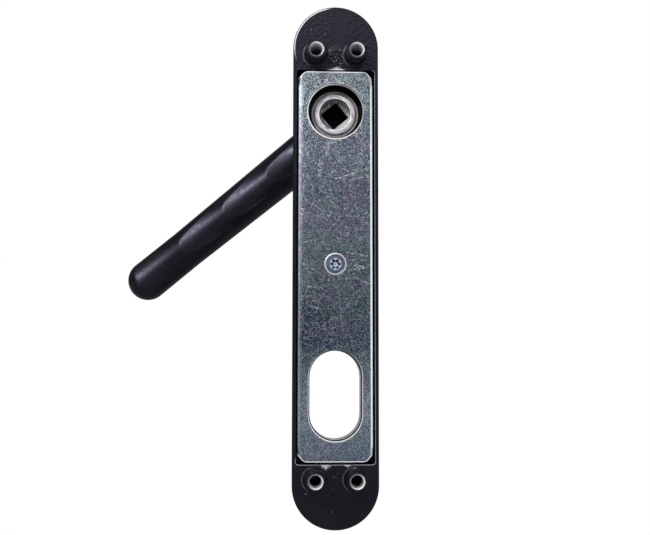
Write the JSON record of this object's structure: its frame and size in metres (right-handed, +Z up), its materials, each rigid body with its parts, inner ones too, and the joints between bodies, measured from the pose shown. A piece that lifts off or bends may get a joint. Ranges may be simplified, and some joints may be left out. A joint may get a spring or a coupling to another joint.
{
  "type": "balcony door handle",
  "caption": "Lever handle on a long rounded plate for a balcony door, seen from the door side, with square spindle socket, lock cylinder slot and tapped fixing bosses.",
  "frame": {"origin": "centre of the four tapped fixing bosses, on the plane of the rim that lies on the door", "axes": "+Z up along the plate, -Y out of the door side, +Y towards the lever, X across the plate"},
  "size_m": [0.1056, 0.0597, 0.21],
  "materials": {
    "black_coated_casting": "satin black powder coat on a light-alloy die-casting",
    "zinc_plated_sheet": "bright zinc-plated sheet steel with fine scratches",
    "zinc_plated_fastener": "blue passivated zinc plate",
    "zinc_plated_turned": "bright zinc-plated turned steel",
    "dull_plated_washer": "dull zinc-plated pressed steel",
    "spring_steel": "blued spring steel",
    "black_steel": "black oxide on pressed steel",
    "black_acetal": "moulded black acetal"
  },
  "bodies": {
    "plate": {"cover_plate": "black_coated_casting", "rear_plate": "zinc_plated_sheet", "plate_screw": "zinc_plated_fastener", "neck_bush": "black_acetal", "thrust_washer": "black_acetal"},
    "handle": {"lever": "black_coated_casting", "drive_sleeve": "zinc_plated_turned", "retaining_washer": "dull_plated_washer", "spring_washer": "spring_steel", "stop_ring": "black_steel", "sleeve_pin": "zinc_plated_fastener"}
  },
  "joints": [
    {"name": "lever_turn", "type": "hinge", "parent": "plate", "child": "handle", "pos_m": [0, 0, 0.0619], "axis": [0, -1, 0], "range_deg": [-84.65, 5.35]}
  ]
}
